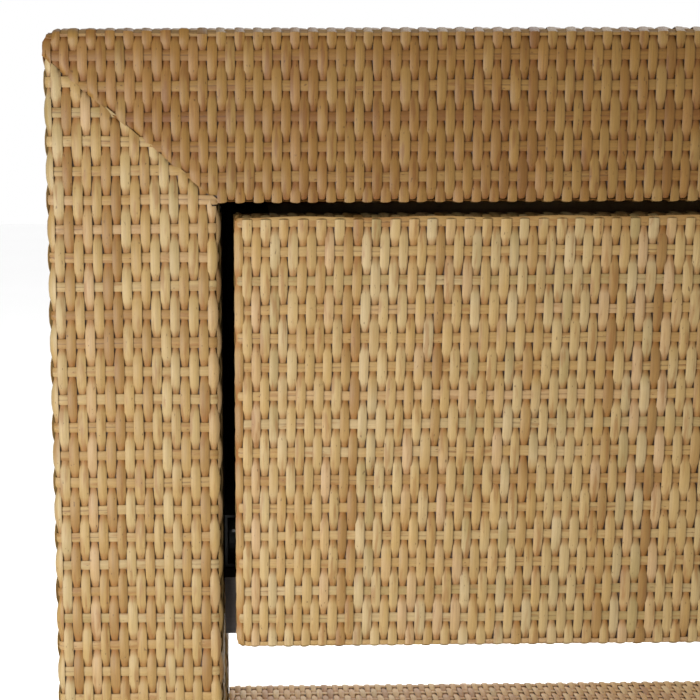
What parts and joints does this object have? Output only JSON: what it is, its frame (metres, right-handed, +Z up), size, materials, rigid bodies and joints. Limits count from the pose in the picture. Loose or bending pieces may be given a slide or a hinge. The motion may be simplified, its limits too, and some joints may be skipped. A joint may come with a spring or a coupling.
{
  "type": "side table with drawer",
  "caption": "Square-legged side table in woven rattan peel over timber, with mitred corners, a slab-front drawer on roller slides and a low woven shelf.",
  "frame": {"origin": "on the floor, under the middle of the table", "axes": "+Z up, the drawer front faces -Y, +X to the right when the front is looked at from outside"},
  "size_m": [0.584, 0.457, 0.61],
  "materials": {
    "rattan_peel": "woven natural rattan peel, satin",
    "frame_timber": "planed hardwood, unfinished",
    "dark_timber": "dark stained hardwood, matt",
    "drawer_timber": "clear lacquered timber and plywood, satin",
    "slide_steel": "pressed steel with a near-black baked coating; blackened screws and axles",
    "dark_nylon": "moulded nylon, near-black, matt"
  },
  "bodies": {
    "case": {"back_panel": "frame_timber", "back_weave": "rattan_peel", "case_floor": "drawer_timber", "case_front_rail": "dark_timber", "foot_glide_back_left": "dark_nylon", "foot_glide_back_right": "dark_nylon", "foot_glide_front_left": "dark_nylon", "foot_glide_front_right": "dark_nylon", "front_axle_left": "slide_steel", "front_axle_right": "slide_steel", "leg_core_back_left": "frame_timber", "leg_core_back_right": "frame_timber", "leg_core_front_left": "frame_timber", "leg_core_front_right": "frame_timber", "leg_weave_back_left": "rattan_peel", "leg_weave_back_right": "rattan_peel", "leg_weave_front_left": "rattan_peel", "leg_weave_front_right": "rattan_peel", "shelf_board": "frame_timber", "shelf_weave": "rattan_peel", "side_panel_left": "frame_timber", "side_panel_right": "frame_timber", "side_weave_left": "rattan_peel", "side_weave_right": "rattan_peel", "slide_batten_left": "frame_timber", "slide_batten_right": "frame_timber", "slide_channel_left": "slide_steel", "slide_channel_right": "slide_steel", "slide_screw_back_left": "slide_steel", "slide_screw_back_right": "slide_steel", "slide_screw_front_left": "slide_steel", "slide_screw_front_right": "slide_steel", "top_board": "frame_timber", "top_rail_back": "frame_timber", "top_rail_front": "frame_timber", "top_rail_left": "frame_timber", "top_rail_right": "frame_timber", "top_weave": "rattan_peel"},
    "drawer": {"back_axle_left": "slide_steel", "back_axle_right": "slide_steel", "drawer_back": "drawer_timber", "drawer_floor": "drawer_timber", "drawer_front_board": "frame_timber", "drawer_front_weave": "rattan_peel", "drawer_inner_front": "drawer_timber", "drawer_runner_left": "slide_steel", "drawer_runner_right": "slide_steel", "drawer_side_left": "drawer_timber", "drawer_side_right": "drawer_timber", "front_screw_high_left": "slide_steel", "front_screw_high_right": "slide_steel", "front_screw_low_left": "slide_steel", "front_screw_low_right": "slide_steel"},
    "front_roller_left": {"front_roller_left": "dark_nylon"},
    "front_roller_right": {"front_roller_right": "dark_nylon"},
    "back_roller_left": {"back_roller_left": "dark_nylon"},
    "back_roller_right": {"back_roller_right": "dark_nylon"}
  },
  "joints": [
    {"name": "drawer_slide", "type": "slide", "parent": "case", "child": "drawer", "axis": [0, -1, 0], "range_m": [0, 0.28]},
    {"name": "front_roller_left_spin", "type": "hinge", "parent": "case", "child": "front_roller_left", "pos_m": [-0.2105, -0.1765, 0.3716], "axis": [1, 0, 0], "continuous": true},
    {"name": "front_roller_right_spin", "type": "hinge", "parent": "case", "child": "front_roller_right", "pos_m": [0.2105, -0.1765, 0.3716], "axis": [1, 0, 0], "continuous": true},
    {"name": "back_roller_left_spin", "type": "hinge", "parent": "drawer", "child": "back_roller_left", "pos_m": [-0.2085, 0.1595, 0.3716], "axis": [1, 0, 0], "continuous": true},
    {"name": "back_roller_right_spin", "type": "hinge", "parent": "drawer", "child": "back_roller_right", "pos_m": [0.2085, 0.1595, 0.3716], "axis": [1, 0, 0], "continuous": true}
  ]
}
